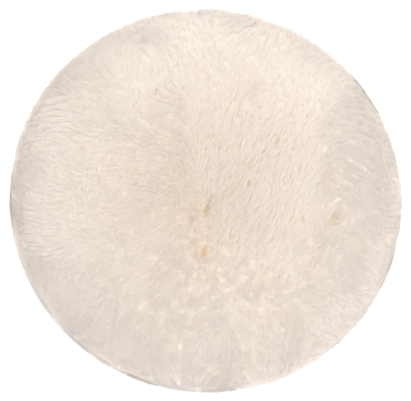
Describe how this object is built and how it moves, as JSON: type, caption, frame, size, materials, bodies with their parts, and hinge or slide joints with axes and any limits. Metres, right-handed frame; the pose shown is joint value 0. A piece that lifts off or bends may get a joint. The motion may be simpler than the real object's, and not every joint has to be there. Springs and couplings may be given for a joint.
{
  "type": "polishing pad",
  "caption": "Round lambswool polishing pad: sheared natural pile on a tanned hide, over a foam cushion with a sewn hook-and-loop back.",
  "frame": {"origin": "centre of the loop face that grips the machine's backing plate, which the pad also rests on", "axes": "+Z is the pad's axis, from the loop face towards the wool"},
  "size_m": [0.18, 0.18, 0.0304],
  "materials": {
    "wool": "soft natural lambswool, cream, sheared, with a faint sheen",
    "hide": "tanned lambskin, matte, napped",
    "foam": "open-cell polyether foam, matte",
    "glue": "dried contact adhesive film, satin",
    "ground_cloth": "warp-knitted polyester ground cloth, matte",
    "loop_nap": "brushed nylon loops, slightly glossy",
    "thread": "twisted bonded polyester thread, slight sheen"
  },
  "bodies": {
    "root": {"loop_nap": "loop_nap", "loop_ground_cloth": "ground_cloth", "backing_glue_film": "glue", "foam_cushion": "foam", "hide_glue_film": "glue", "lambskin_hide": "hide", "wool_pile": "wool", "needle_thread": "thread", "bobbin_thread": "thread"}
  },
  "joints": []
}
